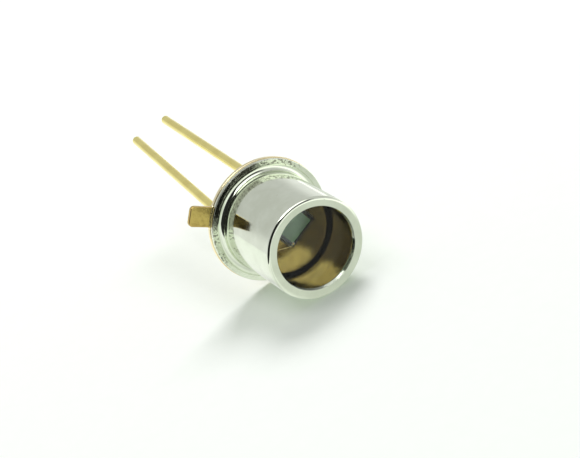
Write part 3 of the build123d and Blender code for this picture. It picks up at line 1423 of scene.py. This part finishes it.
@dataclass
class Studio:
    """Pale floor, soft lamps, the dark flag over the camera, and the camera.

    The world is ambient as a light. Where metal mirrors it, it has the mirrored strength, with a
    white sweep low down and a bright part overhead that fades between the angles of its reach.
    """

    camera_at: Triple = (71.430, -21.659, 26.247)
    look_back: Triple = (0.896103, -0.281916, 0.342817)
    camera_roll: float = 25.0
    lens: float = 107.94
    floor_half: float = 900.0
    ambient: float = 0.42
    mirrored_ambient: float = 0.64
    sweep: float = 0.8
    sweep_top: Span = (0.10, 0.42)
    bright: float = 1.1
    bright_way: Triple = (0.213, 0.0, 0.977)
    bright_reach: Span = (24.0, 38.0)
    flag: DarkFlag = DarkFlag()
    softboxes: tuple[Softbox, ...] = (
        Softbox("key_softbox", (-0.45, 0.46, 0.77), 420.0, 190.0, 1.22, mirrored=False),
        Softbox("overhead_softbox", (-0.03, -0.22, 0.97), 420.0, 240.0, 0.50),
    )

    def set_world(self) -> None:
        """World that lights evenly, and that the camera, metal and glass see as a pale studio.

        The camera and glass see white. Metal sees base + seen (1 - base), where seen falls from the
        sweep's share to nothing as a ray rises, and it sees the bright part overhead on top of it.
        """
        world = bpy.data.worlds.new("studio_air")
        bpy.context.scene.world = world
        g = Nodes(world)
        path = g.add("ShaderNodeLightPath").outputs
        mirrored, way = path["Is Glossy Ray"], g.add("ShaderNodeTexCoord").outputs["Generated"]
        low = g.level(g.part(way, "Z"), *self.sweep_top, self.sweep, 0.0)
        seen = g.maths("MULTIPLY", low, mirrored)
        for ray in ("Is Camera Ray", "Is Transmission Ray"):
            seen = g.maths("MAXIMUM", seen, path[ray])
        base = g.level(mirrored, 0.0, 1.0, self.ambient, self.mirrored_ambient)
        level = g.maths("MULTIPLY_ADD", seen, g.maths("SUBTRACT", 1.0, base), base)
        bright_way = Vector(self.bright_way).normalized()
        near = g.join("ShaderNodeVectorMath", (0, 1), way, bright_way, operation="DOT_PRODUCT")
        ends = [math.cos(math.radians(reach)) for reach in self.bright_reach[::-1]]
        overhead = g.level(near.outputs["Value"], *ends, 0.0, self.bright)
        strength = g.maths("MULTIPLY_ADD", overhead, mirrored, level)
        sky = g.add("ShaderNodeBackground", Color=(1.0, 1.0, 1.0), Strength=strength)
        g.add("ShaderNodeOutputWorld", Surface=sky.outputs[0])

    def lay_floor(self, height: float) -> None:
        """Lay the floor just under the part: a square grid, level everywhere."""
        x, y = np.meshgrid(*[np.linspace(-self.floor_half, self.floor_half, 9)] * 2)
        hang_sheet("pale_floor", np.stack([x, y, np.full_like(x, height)], -1), PalePaper())

    def set_camera(self) -> None:
        """Set the camera by its three directions: the level ones are turned by its roll.

        The level right is straight up crossed with back, and the level up is back crossed with it.
        """
        camera = bpy.data.cameras.new("camera")
        camera.lens, camera.sensor_width = self.lens, 36.0
        camera.clip_start, camera.clip_end = 0.001, 10.0
        back = np.array(self.look_back)
        level = unit(np.cross([0.0, 0.0, 1.0], back))
        rise = np.cross(back, level)
        c, s = around(1.0, self.camera_roll)
        ways = np.stack([level * c - rise * s, level * s + rise * c, back], 1)
        holder = link("camera", camera)
        place = Matrix.Translation(Vector(self.camera_at) * MM)
        holder.matrix_world = place @ Matrix(ways.tolist()).to_4x4()
        bpy.context.scene.camera = holder

    def make(self, floor_height: float) -> None:
        """Set up the studio round the part.

        Args:
            floor_height: Height of the floor, in millimetres.
        """
        bpy.context.scene.view_settings.view_transform = "Standard"
        self.set_world()
        self.lay_floor(floor_height)
        self.flag.hang()
        for softbox in self.softboxes:
            softbox.hang()
        self.set_camera()


# ------------ assembly


def report(piece: Piece) -> None:
    """Log a piece's name, size and number of triangles.

    Args:
        piece: The piece.
    """
    size = " x ".join(f"{x / MM:.2f}" for x in np.ptp(np.array(piece.bound_box), axis=0))
    triangles = sum(len(face.vertices) - 2 for face in piece.data.polygons)
    log.info("%s: %s mm, %d triangles", piece.name, size, triangles)


def main() -> None:
    """Build the pieces in order, report each, and set up the studio."""
    logging.basicConfig(level=logging.INFO, format="%(name)s: %(message)s")
    cad_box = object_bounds()
    header, die = StampedHeader(), Die()
    clocking = header.hole_at[1]
    insulated = Lead("insulated_lead", "anode_lead", Joining.THROUGH_GLASS, clocking, 4.5)
    joined = Lead("joined_lead", "cathode_lead", Joining.UNDER_PLATFORM, clocking + 180, 1.8)
    head = around(insulated.circle_radius, insulated.clocking)
    wire = BondWire(die.pad_middle, die.face + die.pad_height, head, insulated.post_top)
    for assembly in (header, insulated, joined, die, wire, FlatWindow(), DrawnCap()):
        for piece in assembly.make():
            report(piece)
    Studio().make(cad_box[0].z / MM)


if __name__ == "__main__":
    main()
